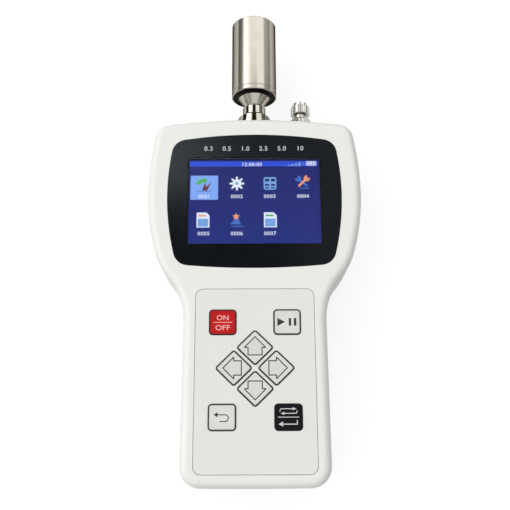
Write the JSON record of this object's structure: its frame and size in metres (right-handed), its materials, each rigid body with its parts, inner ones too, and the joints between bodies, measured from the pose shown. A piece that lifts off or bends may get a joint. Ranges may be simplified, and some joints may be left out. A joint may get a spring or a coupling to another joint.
{
  "type": "handheld airborne particle counter",
  "caption": "Handheld laser airborne particle counter: wide head with a display window, narrow grip with keypad, capped metal sampling probe and a knurled outlet fitting.",
  "frame": {"origin": "middle of the bounding box in X and Y, on the flat back it lies on", "axes": "+Z out of the face with display and keys, +Y along the instrument towards the sampling probe, +X to the right of someone reading the display"},
  "size_m": [0.1204, 0.2743, 0.0425],
  "materials": {
    "shell": "fine satin, off-white",
    "panel": "satin, a shade darker than the shell",
    "window": "clear plate with a black border printed on its back",
    "display": "lit colour display, blue screen",
    "tray": "folded sheet",
    "key_light": "satin, dark outline",
    "key_red": "satin, dark outline",
    "key_black": "satin",
    "board": "green solder mask",
    "switch": "moulded",
    "ribbon": "amber film",
    "screw": "zinc plated",
    "block": "black anodised",
    "laser": "turned",
    "pump_body": "machined",
    "motor": "drawn can",
    "filter_body": "milky capsule",
    "tubing": "silicone",
    "battery": "shrink sleeve",
    "socket": "moulded",
    "socket_shell": "plated",
    "steel": "finely turned stainless steel",
    "cap_steel": "brushed stainless steel",
    "seal": "black",
    "nickel": "nickel plated brass"
  },
  "bodies": {
    "housing": {"front_shell": "shell", "rear_shell": "shell", "display_window": "window", "keypad_panel": "panel", "case_screws": "screw", "charge_socket": "socket", "data_socket": "socket_shell", "inlet_base": "steel", "sampling_probe": "steel", "outlet_fitting": "nickel", "backlight_tray": "tray", "display_panel": "display", "keypad_board": "board", "key_switches": "switch", "keypad_ribbon": "ribbon", "main_board": "board", "board_screws": "screw", "optical_chamber": "block", "laser_module": "laser", "detector_board": "board", "chamber_screws": "screw", "pump_head": "pump_body", "pump_motor": "motor", "exhaust_filter": "filter_body", "inlet_tube": "tubing", "pump_tube": "tubing", "filter_tube": "tubing", "outlet_tube": "tubing", "battery_pack": "battery", "inlet_nut": "nickel"},
    "probe_cap": {"probe_cap": "cap_steel", "cap_seal": "seal"},
    "outlet_nut": {"outlet_nut": "nickel"},
    "key_power": {"key_power": "key_red"},
    "key_measure": {"key_measure": "key_light"},
    "key_escape": {"key_escape": "key_light"},
    "key_enter": {"key_enter": "key_black"},
    "key_up": {"key_up": "key_light"},
    "key_down": {"key_down": "key_light"},
    "key_left": {"key_left": "key_light"},
    "key_right": {"key_right": "key_light"}
  },
  "joints": [
    {"name": "cap_pull", "type": "slide", "parent": "housing", "child": "probe_cap", "axis": [0, 1, 0], "range_m": [0, 0.06]},
    {"name": "outlet_nut_turn", "type": "hinge", "parent": "housing", "child": "outlet_nut", "pos_m": [0.0278, 0.0802, 0.024], "axis": [0, 1, 0], "continuous": true},
    {"name": "key_power_press", "type": "slide", "parent": "housing", "child": "key_power", "axis": [0, 0, -1], "range_m": [0, 0.0006], "stiffness_N_per_m": 2500},
    {"name": "key_measure_press", "type": "slide", "parent": "housing", "child": "key_measure", "axis": [0, 0, -1], "range_m": [0, 0.0006], "stiffness_N_per_m": 2500},
    {"name": "key_escape_press", "type": "slide", "parent": "housing", "child": "key_escape", "axis": [0, 0, -1], "range_m": [0, 0.0006], "stiffness_N_per_m": 2500},
    {"name": "key_enter_press", "type": "slide", "parent": "housing", "child": "key_enter", "axis": [0, 0, -1], "range_m": [0, 0.0006], "stiffness_N_per_m": 2500},
    {"name": "key_up_press", "type": "slide", "parent": "housing", "child": "key_up", "axis": [0, 0, -1], "range_m": [0, 0.0006], "stiffness_N_per_m": 2500},
    {"name": "key_down_press", "type": "slide", "parent": "housing", "child": "key_down", "axis": [0, 0, -1], "range_m": [0, 0.0006], "stiffness_N_per_m": 2500},
    {"name": "key_left_press", "type": "slide", "parent": "housing", "child": "key_left", "axis": [0, 0, -1], "range_m": [0, 0.0006], "stiffness_N_per_m": 2500},
    {"name": "key_right_press", "type": "slide", "parent": "housing", "child": "key_right", "axis": [0, 0, -1], "range_m": [0, 0.0006], "stiffness_N_per_m": 2500}
  ]
}
